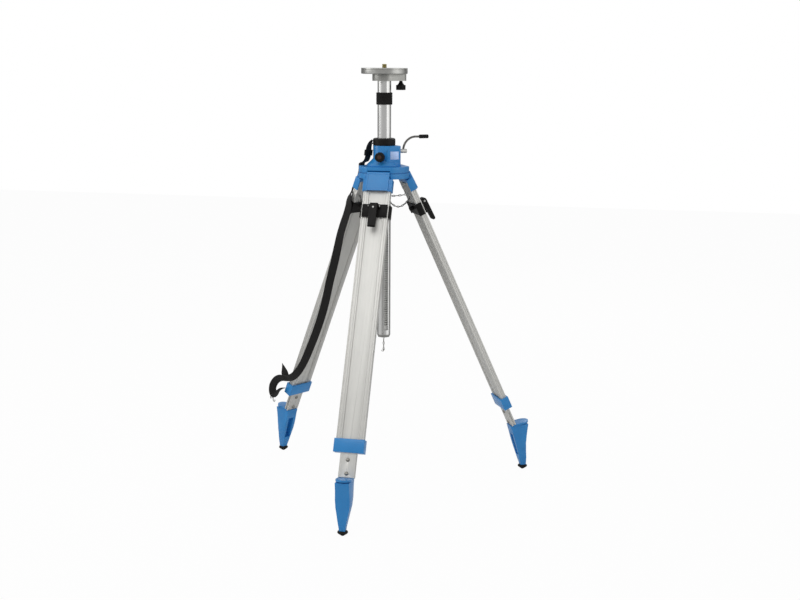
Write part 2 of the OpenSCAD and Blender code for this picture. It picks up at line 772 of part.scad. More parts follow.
module leg_tension_knob() color(black) {
    translate([-face_n - gap - 6, 0, -knob_s]) rotate([0, -90, 0]) {
        translate([0, 0, 0.3]) rounded_disc(8, 12, 1.5);
        translate([0, 0, -4.5]) cylinder(d = 6, h = 6);
    }
}

// x is the radius from the leg's centre line on the ground
module foot_side() {
    polygon([[step_in - 11, step_z - 4], [-78, step_z - 50], [-50, 36], [-tip_in - 11, 22],
             [-tip_in - 10, tip_h - 3], [-tip_in + 10, tip_h - 3], [-24, 26], [-25, 48],
             [-29, 76], [-31.5, 104], [-29.5, 132], [-25, step_z - 10], [-24, step_z],
             [step_in, step_z - 5]]);
}

module foot_front() {
    h = foot_w / 2;
    polygon([[-h + 2, step_z + 40], [-h + 2, step_z - 25], [-h + 0.5, step_z - 60],
             [-h + 2, 92], [-h + 7, 66], [-h + 14, 28], [-10, 20], [-10, 10], [10, 10],
             [10, 20], [h - 14, 28], [h - 7, 66], [h - 2, 92], [h - 0.5, step_z - 60],
             [h - 2, step_z - 25], [h - 2, step_z + 40]]);
}

// Half-moon that a boot treads on.
module foot_step() {
    intersection() {
        rotate([90, 0, 0]) translate([0, 0, -foot_w / 2]) linear_extrude(foot_w)
            polygon([[step_in - 3, step_z - 6], [step_out, step_z + 5],
                     [step_out, step_z + 12], [step_in - 3, step_z + 1]]);
        translate([0, 0, step_z - 20]) linear_extrude(40) {
            translate([step_out - foot_w / 2, 0]) circle(d = foot_w, $fn = 64);
            translate([step_in - 3, -foot_w / 2]) square([step_out - step_in + 3 - foot_w / 2,
                foot_w]);
        }
    }
}

module leg_foot(k) color(blue) {
    difference() {
        union() {
            rotate([0, 0, leg_az[k]]) translate([foot_line_r, 0, 0]) {
                intersection() {
                    rotate([90, 0, 0]) translate([0, 0, -40]) linear_extrude(80)
                        foot_side();
                    rotate([90, 0, 90]) translate([0, 0, -150]) linear_extrude(300)
                        foot_front();
                }
                foot_step();
            }
            in_leg(k) translate([-tongue_t / 2 + 2.7, -tongue_w / 2 + groove_d + 2.7,
                -foot_top_s - 20]) cube([tongue_t - 5.4, tongue_w - 2 * groove_d - 5.4,
                foot_top_s + 20 - tang_top_s]);
        }
        // the tongue's end stands on the foot's shoulder
        in_leg(k) translate([-tongue_t / 2 - 0.05, -tongue_w / 2 - 0.05, -foot_top_s])
            difference() {
                cube([tongue_t + 0.1, tongue_w + 0.1, 60]);
                translate([2.75, groove_d + 2.75, -1]) cube([tongue_t - 5.4,
                    tongue_w - 2 * groove_d - 5.4, 70]);
            }
        in_leg(k) for (s = rivet_s) translate([-20, 0, -s]) rotate([0, 90, 0])
            cylinder(d = rivet_d, h = 40);
        // hollow inner face
        rotate([0, 0, leg_az[k]]) translate([foot_line_r, 0, 0]) rotate([90, 0, 0])
            translate([0, 0, -12]) linear_extrude(24) polygon([[-100, step_z - 40],
                [-62, step_z - 40], [-40, 78], [-40, 60], [-70, 54]]);
        rotate([0, 0, leg_az[k]]) translate([foot_line_r - tip_in, 0, 0])
            cylinder(d = 9, h = 34);
    }
}

module leg_tip(k) color(black) {
    rotate([0, 0, leg_az[k]]) translate([foot_line_r - tip_in, 0, 0]) {
        rotate_extrude() polygon([[0, 0], [4, 0], [7, 2], [16, 8.5], [tip_r, 11],
            [16.5, 14], [11, tip_h - 3.05], [0, tip_h - 3.05]]);
        cylinder(d = 8.9, h = 33);
    }
}

module leg_rivets() color(steel) {
    for (s = rivet_s) translate([0, 0, -s]) {
        rotate([0, 90, 0]) translate([0, 0, -tongue_t / 2 - 1]) cylinder(d = rivet_d - 0.1,
            h = tongue_t + 2);
        for (m = [0, 1]) mirror([m, 0, 0]) translate([tongue_t / 2, 0, 0])
            rotate([0, 90, 0]) rotate_extrude() polygon([[0, 0], [6.6, 0], [6.3, 1.6],
                [5.2, 3], [3.2, 4.1], [0, 4.5]]);
    }
}

// ---- strap and chains ----------------------------------------------------------

function add(a, b) = [for (i = [0:2]) a[i] + b[i]];
function unit(v) = v / norm(v);
function in_world(k, p) =
    let (x = hinge_r + p[0] * cos(leg_tilt) - p[2] * sin(leg_tilt),
         z = hinge_z + p[0] * sin(leg_tilt) + p[2] * cos(leg_tilt), a = leg_az[k])
    [x * cos(a) - p[1] * sin(a), x * sin(a) + p[1] * cos(a), z];
function around(r, a, z) = [r * cos(a), r * sin(a), z];
function tangent(p, i) = unit(p[min(i + 1, len(p) - 1)] - p[max(i - 1, 0)]);

// Sweeps rings of n corners into one closed solid.
module skin(rings) {
    n = len(rings[0]);
    m = len(rings);
    polyhedron([for (r = rings) each r], concat(
        [[for (j = [n - 1:-1:0]) j]],
        [for (i = [0:m - 2]) for (j = [0:n - 1]) each [
            [i * n + j, i * n + (j + 1) % n, (i + 1) * n + (j + 1) % n],
            [i * n + j, (i + 1) * n + (j + 1) % n, (i + 1) * n + j]]],
        [[for (j = [0:n - 1]) (m - 1) * n + j]]), convexity = 6);
}

// points is a list of [centre, direction of the width]
module ribbon(points) {
    mid = [for (p = points) p[0]];
    skin([for (i = [0:len(points) - 1])
        let (t = tangent(mid, i), f = unit(cross(t, points[i][1])), w = cross(f, t) * strap_w / 2,
             h = f * strap_t / 2)
        [mid[i] - w - h, mid[i] + w - h, mid[i] + w + h, mid[i] - w + h]]);
}

module round_cord(mid, r, n = 8) {
    side = unit(cross(mid[len(mid) - 1] - mid[0], [0, 0, 1]));
    skin([for (i = [0:len(mid) - 1]) let (t = tangent(mid, i), up = cross(side, t))
        [for (j = [0:n - 1]) mid[i] + r * (cos(j * 360 / n) * side + sin(j * 360 / n) * up)]]);
}

strap_high = [
    [around(46, 196, 1218), around(1, 84, 0)], [around(50, 195, 1208), around(1, 74, 0)],
    [around(53, 194, 1195), around(1, 67, 0)], [around(54, 193.5, 1181), around(1, 65, 0)],
    [around(56, 193, 1168), around(1, 64, 0)], [around(60, 189, 1157), around(1, 62, 0)],
    [around(67, 181, 1150), around(1, 60, 0)], [around(77, 171, 1146), around(1, 60, 0)],
    [around(87, 164, 1142), around(1, 60, 0)], [around(93, 161, 1134), around(1, 60, 0)]];

module strap_upper() color(black) ribbon(strap_high);

// Frame that shortens the strap, where it leaves the collar.
module strap_buckle() color(black) translate(around(54, 193.5, 1181)) rotate([2.5, -6, 155])
    difference() {
        cube([6.5, strap_w + 9, 20], center = true);
        cube([strap_t + 2.2, strap_w + 2, 40], center = true);
        for (z = [-5, 5]) translate([0, 0, z]) cube([9, strap_w + 2, 5], center = true);
    }

// Places out of the leg, across it and down it, and the direction of the width there.
strap_low = [
    [[31, 15, 3], [0, -1, 0]], [[29.5, 13, -16], [0, -1, 0]], [[28, 13, -42], [0, -1, 0]],
    [[27.5, 16, -66], [0, -1, 0]], [[25, 32, -84], [0.35, -0.93, -0.1]],
    [[14, 51, -98], [0.75, -0.6, -0.25]], [[2, 60, -113], [0.93, -0.25, -0.3]],
    [[-7, 62, -130], [0.95, 0, -0.35]], [[-12, 64, -160], [0.93, 0.1, -0.38]],
    [[-14, 66, -195], [0.9, 0.15, -0.4]],
    [[-16, 66, -240], [0.9, 0.2, -0.4]], [[-23, 66, -289], [0.8, 0.4, -0.35]],
    [[-31, 66, -349], [0.7, 0.6, -0.3]], [[-38, 66, -420], [0.65, 0.7, -0.3]],
    [[-50, 66, -510], [0.65, 0.7, -0.3]], [[-54, 66, -605], [0.65, 0.7, -0.3]],
    [[-49, 66, -712], [0.65, 0.7, -0.3]], [[-41, 66, -785], [0.6, 0.75, -0.3]],
    [[-28, 68, -835], [0.4, 0.9, -0.2]], [[-8, 68, -868], [0.1, 1, 0]],
    [[18, 65.4, -884], [0, 1, 0]], [[42, 65.4, -898], [0, 1, 0]], [[62, 65.4, -920], [0, 1, 0]],
    [[72, 65.4, -950], [0, 1, 0]], [[66, 65.4, -974], [0, 1, 0]], [[50, 65.4, -985], [0, 1, 0]],
    [[34, 65.4, -975], [0, 1, 0]], [[24, 65.4, -954], [0, 1, 0]], [[16, 65.4, -934], [0, 1, 0]]];

module strap_lower() color(black) ribbon([for (p = strap_low)
    [in_world(2, p[0]), unit(in_world(2, p[1]) - in_world(2, [0, 0, 0]))]]);

// Snap hook that hangs from the strap's loop.
module strap_hook() color(steel) in_leg(2) translate([50, 65.4, -990]) rotate([0, leg_tilt, 0]) {
    translate([0, 14, 3.5]) rotate([90, 0, 0]) cylinder(r = 1.4, h = 28);
    for (m = [0, 1]) mirror([0, m, 0]) translate([0, 13, -8]) cylinder(r = 1.4, h = 12);
    translate([0, 14, -8]) rotate([90, 0, 0]) cylinder(r = 1.4, h = 28);
    translate([0, 0, -18]) cylinder(r = 1.6, h = 10);
    translate([-5, 0, -18]) rotate([90, 0, 0]) rotate_extrude(angle = -220)
        translate([5, 0]) circle(1.6);
}

// A chain hangs between the inner faces of each two neighbouring legs.
module spread_chains() color(steel) {
    steps = 14;
    for (c = [[0, 1, 30], [1, 2, 6], [2, 0, 26]]) {
        p = in_world(c[0], [-face_n - chain_d, eye_t, -eye_s]);
        q = in_world(c[1], [-face_n - chain_d, -eye_t, -eye_s]);
        round_cord([for (i = [0:steps]) let (u = i / steps)
            p + (q - p) * u - [0, 0, 4 * c[2] * u * (1 - u)]], chain_d / 2);
        for (e = [[c[0], eye_t], [c[1], -eye_t]]) in_leg(e[0])
            translate([-face_n - chain_d - 2, e[1], -eye_s]) rotate([0, 90, 0])
                cylinder(r = 3.5, h = chain_d + 2);
    }
}

// ---- what is drawn -------------------------------------------------------------

head_plate();
gear_case();
case_screws();
instrument_screw();
screw_gear();
idler_gear();
drive_gear();
screw_knob();
column_tube();
column_rack();
stop_ring();
tube_cap();
plumb_hook();
guide_collar();
housing();
name_plate();
crown();
clamp_ring();
crown_bolts();
hinge_pins();
pinion_shaft();
crank_arm();
crank_grip();
lock_knob();
brake_shoe();
strap_upper();
strap_buckle();
strap_lower();
strap_hook();
spread_chains();
for (k = [0:2]) {
    n = leg_names[k];
    in_leg(k) leg_bracket();
    in_leg(k) leg_rails();
    in_leg(k) leg_sleeve();
    in_leg(k) leg_tongue();
    in_leg(k) leg_clamp();
    in_leg(k) leg_lever();
    in_leg(k) leg_tension_knob();
    leg_foot(k);
    leg_tip(k);
    in_leg(k) leg_rivets();
}
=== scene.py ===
import json
import math

import bmesh
import bpy
from mathutils import Matrix, Vector

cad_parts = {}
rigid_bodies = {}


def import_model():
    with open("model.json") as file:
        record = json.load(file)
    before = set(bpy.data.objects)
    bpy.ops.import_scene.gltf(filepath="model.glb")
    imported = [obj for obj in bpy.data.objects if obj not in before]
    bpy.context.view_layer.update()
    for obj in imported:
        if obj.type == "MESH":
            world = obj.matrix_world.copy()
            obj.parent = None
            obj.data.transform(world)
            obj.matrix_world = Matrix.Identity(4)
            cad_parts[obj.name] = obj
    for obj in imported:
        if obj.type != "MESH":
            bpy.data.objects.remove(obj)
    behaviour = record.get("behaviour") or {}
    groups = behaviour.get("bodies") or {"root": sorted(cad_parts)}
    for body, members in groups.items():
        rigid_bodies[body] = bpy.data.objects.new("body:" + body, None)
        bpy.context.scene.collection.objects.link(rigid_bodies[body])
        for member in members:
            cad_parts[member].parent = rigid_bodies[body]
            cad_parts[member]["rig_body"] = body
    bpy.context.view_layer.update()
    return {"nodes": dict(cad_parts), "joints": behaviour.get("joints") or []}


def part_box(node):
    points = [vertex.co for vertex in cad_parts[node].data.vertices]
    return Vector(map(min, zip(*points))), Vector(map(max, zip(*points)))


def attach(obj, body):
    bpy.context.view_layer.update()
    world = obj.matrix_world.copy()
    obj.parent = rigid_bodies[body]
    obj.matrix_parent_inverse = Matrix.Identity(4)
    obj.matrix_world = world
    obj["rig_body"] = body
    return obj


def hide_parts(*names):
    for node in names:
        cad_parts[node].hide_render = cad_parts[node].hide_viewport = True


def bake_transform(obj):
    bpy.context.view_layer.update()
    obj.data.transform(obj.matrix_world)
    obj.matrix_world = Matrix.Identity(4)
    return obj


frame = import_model()
nodes = frame["nodes"]
joints = {joint["name"]: joint for joint in frame["joints"]}
scene = bpy.context.scene
scene.view_settings.view_transform = "Standard"
legNames = ["front", "right", "left"]
mm = 0.001
up = Vector((0, 0, 1))


def corner(node, which, axis):
    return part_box(node)[which][axis]


def halfWidth(node):
    return (corner(node, 1, 0) - corner(node, 0, 0)) / 2


def jointPoint(name):
    return Vector(joints[name]["pos_m"])


def jointAxis(name):
    return Vector(joints[name]["axis"]).normalized()


def placed(origin, x, y, z):
    turn = Matrix((x, y, z)).transposed().to_4x4()
    return Matrix.Translation(origin) @ turn


def legPlace(name):
    # X out of the leg's face, Y across it and Z up along it, from the hinge pin
    across = jointAxis(name + "_fold")
    along = -jointAxis(name + "_slide")
    return placed(jointPoint(name + "_fold"), across.cross(along), across, along)


def inLeg(name, x, y, z):
    return legPlace(name) @ (Vector((x, y, z)) * mm)


print("materials")


class Wire:
    def __init__(self, tree, socket=None):
        self.tree = tree
        self.socket = socket

    def node(self, kind, settings=None, inputs=None, out=0):
        made = self.tree.nodes.new(kind)
        for name, value in (settings or {}).items():
            setattr(made, name, value)
        for key, value in (inputs or {}).items():
            if isinstance(value, Wire):
                self.tree.links.new(value.socket, made.inputs[key])
            else:
                made.inputs[key].default_value = value
        return Wire(self.tree, made.outputs[out])

    def maths(self, operation, *others):
        return self.node("ShaderNodeMath", {"operation": operation}, dict(enumerate((self, *others))))

    def clamped(self):
        return self.maths("MINIMUM", 1).maths("MAXIMUM", 0)

    def __add__(self, other):
        return self.maths("ADD", other)

    __radd__ = __add__

    def __mul__(self, other):
        return self.maths("MULTIPLY", other)

    __rmul__ = __mul__

    def __sub__(self, other):
        return self.maths("SUBTRACT", other)

    def __rsub__(self, other):
        return (self * -1) + other

    def part(self, index):
        return self.node("ShaderNodeSeparateXYZ", inputs={0: self}, out=index)

    def scaled(self, x, y, z):
        return self.node("ShaderNodeMapping", inputs={"Vector": self, "Scale": (x, y, z)})

    def noise(self, scale, detail=2.0, rough=0.5):
        return self.node("ShaderNodeTexNoise", inputs={
            "Vector": self, "Scale": scale, "Detail": detail, "Roughness": rough})

    def mixed(self, low, high):
        return self.node("ShaderNodeMix", {"data_type": "RGBA"},
                         {"Factor": self, 6: low, 7: high}, out=2)

    def bump(self, strength, distance):
        return self.node("ShaderNodeBump", inputs={
            "Height": self, "Strength": strength, "Distance": distance})


def material(name, build, **fixed):
    made = bpy.data.materials.new(name)
    made.use_nodes = True
    tree = made.node_tree
    shader = tree.nodes["Principled BSDF"]
    for key, value in fixed.items():
        shader.inputs[key.replace("_", " ")].default_value = value
    root = Wire(tree)
    for key, wire in build(root).items():
        tree.links.new(wire.socket, shader.inputs[key])
    return made


def objectPlace(root):
    return root.node("ShaderNodeTexCoord", out="Object")


def ownPlace(root):
    return root.node("ShaderNodeAttribute", {"attribute_name": "ownPlace"}, out="Vector")


def rgba(r, g, b):
    return (r, g, b, 1)


enamelLook = dict(deep=(0.02, 0.2, 0.53), clear=(0.04, 0.295, 0.68), grain=700, dimple=0.00008)


def enamel(root):
    place = objectPlace(root)
    cloud = place.noise(14, 3)
    peel = place.noise(enamelLook["grain"], 2)
    return {
        "Base Color": cloud.mixed(rgba(*enamelLook["deep"]), rgba(*enamelLook["clear"])),
        "Roughness": peel * 0.12 + 0.27,
        "Normal": (peel + place.noise(90, 2) * 1.5).bump(0.35, enamelLook["dimple"]),
    }


def castMetal(root):
    place = objectPlace(root)
    grain = place.noise(1400, 3)
    cloud = place.noise(25, 3)
    return {
        "Base Color": cloud.mixed(rgba(0.26, 0.26, 0.245), rgba(0.4, 0.4, 0.38)),
        "Roughness": grain * 0.2 + 0.3,
        "Normal": (grain + place.noise(300, 2)).bump(0.3, 0.00006),
    }


def turnedMetal(root):
    # fine rings left by the lathe, round the column's axis
    place = objectPlace(root)
    x = place.part(0)
    y = place.part(1)
    radius = (x * x + y * y).maths("SQRT")
    rings = (radius * 9000).maths("SINE")
    cloud = place.noise(40, 3)
    return {
        "Base Color": cloud.mixed(rgba(0.3, 0.3, 0.285), rgba(0.5, 0.5, 0.48)),
        "Roughness": (rings + place.noise(500, 2)) * 0.05 + 0.28,
        "Normal": rings.bump(0.25, 0.00002),
    }


def drawnTube(root):
    place = objectPlace(root)
    scratch = place.scaled(900, 900, 6).noise(1, 3, 0.6)
    smear = place.scaled(30, 30, 5).noise(1, 3)
    return {
        "Base Color": smear.mixed(rgba(0.52, 0.52, 0.51), rgba(0.66, 0.66, 0.65)),
        "Roughness": scratch * 0.16 + smear * 0.1 + 0.14,
        "Normal": scratch.bump(0.08, 0.00001),
    }


def extruded(root):
    # die lines run down the leg
    place = ownPlace(root)
    lines = place.scaled(480, 480, 2.5).noise(1, 2, 0.4)
    wide = place.scaled(160, 160, 2).noise(1, 3)
    cloud = place.noise(12, 3)
    return {
        "Base Color": (wide * 0.6 + cloud * 0.4).mixed(rgba(0.54, 0.54, 0.515), rgba(0.68, 0.67, 0.64)),
        "Roughness": lines * 0.12 + 0.46,
        "Normal": (lines + wide).bump(0.14, 0.00002),
    }


def brightSteel(root):
    place = objectPlace(root)
    grain = place.noise(1800, 3)
    return {
        "Base Color": place.noise(60, 3).mixed(rgba(0.36, 0.36, 0.35), rgba(0.52, 0.52, 0.5)),
        "Roughness": grain * 0.2 + 0.2,
        "Normal": grain.bump(0.2, 0.00002),
    }


def dullBrass(root):
    place = objectPlace(root)
    stain = place.noise(180, 4)
    return {
        "Base Color": stain.mixed(rgba(0.2, 0.17, 0.07), rgba(0.46, 0.4, 0.18)),
        "Roughness": stain * 0.3 + 0.25,
        "Normal": place.noise(2500, 2).bump(0.2, 0.00002),
    }


def moulded(root):
    # black plastic with a spark-eroded grain and paler rubbed spots
    place = objectPlace(root)
    grain = place.noise(2400, 2)
    rub = place.noise(70, 4)
    return {
        "Base Color": rub.mixed(rgba(0.004, 0.004, 0.004), rgba(0.014, 0.013, 0.012)),
        "Roughness": grain * 0.2 + 0.36,
        "Normal": grain.bump(0.4, 0.00005),
    }


def blackEnamel(root):
    place = objectPlace(root)
    peel = place.noise(900, 2)
    return {
        "Base Color": place.noise(50, 3).mixed(rgba(0.004, 0.004, 0.004), rgba(0.013, 0.012, 0.011)),
        "Roughness": peel * 0.2 + 0.3,
        "Normal": peel.bump(0.35, 0.00005),
    }


def blackRubber(root):
    place = objectPlace(root)
    dust = place.noise(120, 4)
    return {
        "Base Color": dust.mixed(rgba(0.006, 0.006, 0.006), rgba(0.022, 0.021, 0.02)),
        "Roughness": dust * 0.2 + 0.6,
        "Normal": place.noise(1500, 3).bump(0.4, 0.00008),
    }


def darkSteel(root):
    # blackened steel rod, rubbed brighter along its back
    place = objectPlace(root)
    rub = place.noise(120, 4)
    return {
        "Base Color": rub.mixed(rgba(0.05, 0.05, 0.048), rgba(0.16, 0.155, 0.145)),
        "Roughness": place.noise(900, 3) * 0.2 + 0.22,
        "Normal": place.noise(1500, 2).bump(0.2, 0.00003),
    }


def rivetSteel(root):
    place = objectPlace(root)
    dull = place.noise(220, 4)
    return {
        "Base Color": dull.mixed(rgba(0.16, 0.155, 0.14), rgba(0.36, 0.35, 0.32)),
        "Roughness": dull * 0.2 + 0.28,
    }


def knobCap(root):
    place = objectPlace(root)
    return {
        "Base Color": place.noise(160, 3).mixed(rgba(0.035, 0.014, 0.008), rgba(0.075, 0.032, 0.018)),
        "Roughness": place.noise(900, 2) * 0.2 + 0.3,
    }


def barePlate(root):
    place = objectPlace(root)
    brushed = place.scaled(60, 60, 2600).noise(1, 3)
    return {
        "Base Color": brushed.mixed(rgba(0.36, 0.5, 0.8), rgba(0.46, 0.6, 0.88)),
        "Roughness": brushed * 0.2 + 0.3,
        "Normal": brushed.bump(0.15, 0.00002),
    }


weave = dict(pitch=2.0, ribs=1.4)


def webbing(root):
    # ownPlace holds millimetres across and along the strap
    place = ownPlace(root)
    across = place.part(0)
    along = place.part(1)
    lean = (across * (math.pi / weave["ribs"])).maths("SINE")
    rib = ((along * (2 * math.pi / weave["pitch"])) + lean * 1.2).maths("SINE")
    cloth = (rib * 0.5 + 0.5) * 0.7 + (lean * 0.5 + 0.5) * 0.3
    fuzz = place.scaled(1, 1, 1).noise(2.5, 3)
    return {
        "Base Color": (cloth * 0.6 + fuzz * 0.4).mixed(rgba(0.004, 0.004, 0.004), rgba(0.03, 0.029, 0.028)),
        "Roughness": fuzz * 0.2 + 0.62,
        "Normal": (cloth + fuzz * 0.3).bump(0.7, 0.0004),
    }


blue = material("blueEnamel", enamel, Coat_Weight=0.22, Coat_Roughness=0.12, Specular_IOR_Level=0.28)
cast = material("castAluminium", castMetal, Metallic=0.9)
turned = material("turnedAluminium", turnedMetal, Metallic=0.95)
tubeMetal = material("drawnAluminium", drawnTube, Metallic=1.0)
railMetal = material("extrudedAluminium", extruded, Metallic=0.6)
steel = material("brightSteel", brightSteel, Metallic=1.0)
armSteel = material("darkSteel", darkSteel, Metallic=1.0)
headSteel = material("rivetSteel", rivetSteel, Metallic=0.9)
brass = material("dullBrass", dullBrass, Metallic=0.9)
plastic = material("blackPlastic", moulded, Specular_IOR_Level=0.13)
blackMetal = material("blackEnamelled", blackEnamel, Specular_IOR_Level=0.1)
rubber = material("blackRubber", blackRubber, Specular_IOR_Level=0.12)
brown = material("brownCap", knobCap, Specular_IOR_Level=0.3)
plate = material("barePlate", barePlate, Metallic=0.4)
cloth = material("blackWebbing", webbing, Sheen_Weight=0.06, Specular_IOR_Level=0.15)

print("helpers")


def soften(bm, width, segments=2, angle=30, edges=None):
    if edges is None:
        edges = [e for e in bm.edges
                 if len(e.link_faces) == 2 and e.calc_face_angle(0) > math.radians(angle)]
    if edges:
        bmesh.ops.bevel(bm, geom=edges, offset=width, offset_type="OFFSET", segments=segments,
                        profile=0.5, affect="EDGES", clamp_overlap=True, material=-1)


def cleaned(node):
    bm = bmesh.new()
    bm.from_mesh(nodes[node].data)
    bmesh.ops.remove_doubles(bm, verts=bm.verts, dist=2e-6)
    bmesh.ops.dissolve_limit(bm, angle_limit=math.radians(0.4), verts=bm.verts, edges=bm.edges)
    return bm


def piece(name, bm, body, look, stands=(), place=None, own=None, smooth=32):
    # own is the frame that a pattern follows; place moves the mesh to where it belongs
    if place is not None:
        bmesh.ops.transform(bm, matrix=place, verts=bm.verts)
    if own is not None:
        layer = bm.verts.layers.float_vector.new("ownPlace")
        back = own.inverted()
        for v in bm.verts:
            v[layer] = back @ v.co
    mesh = bpy.data.meshes.new(name)
    bm.to_mesh(mesh)
    bm.free()
    made = bpy.data.objects.new(name, mesh)
    scene.collection.objects.link(made)
    for face in mesh.polygons:
        face.use_smooth = True
    mesh.set_sharp_from_angle(angle=math.radians(smooth))
    for part in look if isinstance(look, (list, tuple)) else [look]:
        mesh.materials.append(part)
    if stands:
        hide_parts(*stands)
    if body:
        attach(made, body)
    return made


def finishNode(node, look, width, segments=2, own=None, name=None, extra=None, angle=30):
    bm = cleaned(node)
    soften(bm, width * mm, segments, angle)
    if extra:
        extra(bm)
    return piece(name or node + "Finish", bm, nodes[node]["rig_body"], look, [node], own=own)


def paintNode(node, look):
    mesh = nodes[node].data
    mesh.materials.clear()
    mesh.materials.append(look)


def turnedShape(profile, steps=64, closed=False):
    bm = bmesh.new()
    verts = [bm.verts.new((r * mm, 0, z * mm)) for r, z in profile]
    edges = [bm.edges.new(pair) for pair in zip(verts, verts[1:])]
    if closed:
        edges.append(bm.edges.new((verts[-1], verts[0])))
    bmesh.ops.spin(bm, geom=verts + edges, axis=(0, 0, 1), cent=(0, 0, 0),
                   angle=2 * math.pi, steps=steps, use_merge=True)
    bmesh.ops.remove_doubles(bm, verts=bm.verts, dist=1e-6)
    bmesh.ops.recalc_face_normals(bm, faces=bm.faces)
    return bm


def joined(*shapes):
    whole = bmesh.new()
    for shape in shapes:
        mesh = bpy.data.meshes.new("part")
        shape.to_mesh(mesh)
        shape.free()
        whole.from_mesh(mesh)
        bpy.data.meshes.remove(mesh)
    return whole


def arc(centre, radius, start, end, steps):
    angles = [math.radians(start + (end - start) * i / steps) for i in range(steps + 1)]
    return [(centre[0] + radius * math.cos(a), centre[1] + radius * math.sin(a)) for a in angles]


def ringPlace(path, i, normal, closed):
    count = len(path)
    before = path[(i - 1) % count] if closed else path[max(i - 1, 0)]
    after = path[(i + 1) % count] if closed else path[min(i + 1, count - 1)]
    along = (after - before).normalized()
    side = normal.cross(along).normalized()
    return placed(path[i], side, along.cross(side), along)


def pipe(path, radius, normal, sides=10, closed=False):
    path = [Vector(p) for p in path]
    bm = bmesh.new()
    places = [ringPlace(path, i, normal, closed) for i in range(len(path))]
    ring = bmesh.ops.create_circle(bm, cap_ends=not closed, segments=sides,
                                   radius=radius * mm, matrix=places[0])["verts"]
    edges = [e for e in bm.edges if e.verts[0] in ring]
    last = places[0]
    for place in places[1:] + (places[:1] if closed else []):
        grown = bmesh.ops.extrude_edge_only(bm, edges=edges)["geom"]
        verts = [g for g in grown if isinstance(g, bmesh.types.BMVert)]
        edges = [g for g in grown if isinstance(g, bmesh.types.BMEdge)]
        bmesh.ops.transform(bm, matrix=place @ last.inverted(), verts=verts)
        last = place
    if closed:
        bmesh.ops.remove_doubles(bm, verts=bm.verts, dist=1e-6)
    else:
        bmesh.ops.contextual_create(bm, geom=edges)
    bmesh.ops.recalc_face_normals(bm, faces=bm.faces)
    return bm


print("camera, light and floor")

shot = dict(place=(1.0273, -4.1668, 1.4827), down=10.77, turn=13.09, roll=0.3, lens=56.01)


def makeCamera():
    camera = bpy.data.cameras.new("camera")
    camera.lens = shot["lens"]
    camera.sensor_width = 36
    camera.clip_end = 50
    holder = bpy.data.objects.new("camera", camera)
    scene.collection.objects.link(holder)
    turn = Matrix.Rotation(math.radians(shot["turn"]), 4, "Z")
    tip = Matrix.Rotation(math.radians(90 - shot["down"]), 4, "X")
    roll = Matrix.Rotation(math.radians(shot["roll"]), 4, "Z")
    holder.matrix_world = Matrix.Translation(shot["place"]) @ turn @ tip @ roll
    scene.camera = holder


makeCamera()

lamps = {
    "key": dict(at=(-0.6, -3.2, 4.4), size=3.2, power=56),
    "left": dict(at=(-3.8, -1.2, 2.4), size=2.2, power=34),
    "right": dict(at=(4.0, -1.4, 2.2), size=2.4, power=15),
    "back": dict(at=(0.8, 3.6, 3.2), size=2.6, power=34),
}
skyGlow = 0.42
floorGlow = 0.96
studio = dict(dim=0.3, front=0.62, window=1.35, fill=0.85)


def surroundings(direction):
    # what polished metal mirrors: a bright window right, a fill left and a dim room behind
    x = direction.part(0)
    y = direction.part(1)
    length = (x * x + y * y + 0.0001).maths("SQRT")
    right = (x * 0.97 + y * 0.24).maths("DIVIDE", length)
    near = (x * 0.24 - y * 0.97).maths("DIVIDE", length)

    def step(wire, low, high):
        return ((wire - low) * (1 / (high - low))).clamped()

    ahead = step(near, -0.45, 0.05)
    glow = ahead * (studio["front"] - studio["dim"]) + studio["dim"]
    glow = glow + ahead * step(right, 0.6, 0.85) * (studio["window"] - studio["front"])
    return glow + ahead * step(right, -0.6, -0.85) * (studio["fill"] - studio["front"])


def makeLight():
    middle = Vector((0, 0, 0.8))
    for name, lamp in lamps.items():
        light = bpy.data.lights.new(name, "AREA")
        light.energy = lamp["power"]
        light.size = lamp["size"]
        holder = bpy.data.objects.new(name, light)
        holder.location = lamp["at"]
        holder.rotation_euler = (middle - Vector(lamp["at"])).to_track_quat("-Z", "Y").to_euler()
        scene.collection.objects.link(holder)
    world = bpy.data.worlds.new("studio")
    scene.world = world
    world.use_nodes = True
    tree = world.node_tree
    root = Wire(tree)
    path = root.node("ShaderNodeLightPath")
    glossy = Wire(tree, path.socket.node.outputs["Is Glossy Ray"])
    glass = Wire(tree, path.socket.node.outputs["Is Transmission Ray"])
    direction = root.node("ShaderNodeTexCoord", out="Generated")
    height = ((direction.part(2) - 0.2) * 4).clamped()
    mirrored = surroundings(direction) * (1 - height) + height
    seen = path.maths("MAXIMUM", glass)
    back = tree.nodes["Background"]
    strength = seen * (1 - skyGlow) + skyGlow + glossy * (mirrored - skyGlow)
    tree.links.new(strength.socket, back.inputs["Strength"])
    back.inputs["Color"].default_value = rgba(1, 1, 1)


makeLight()


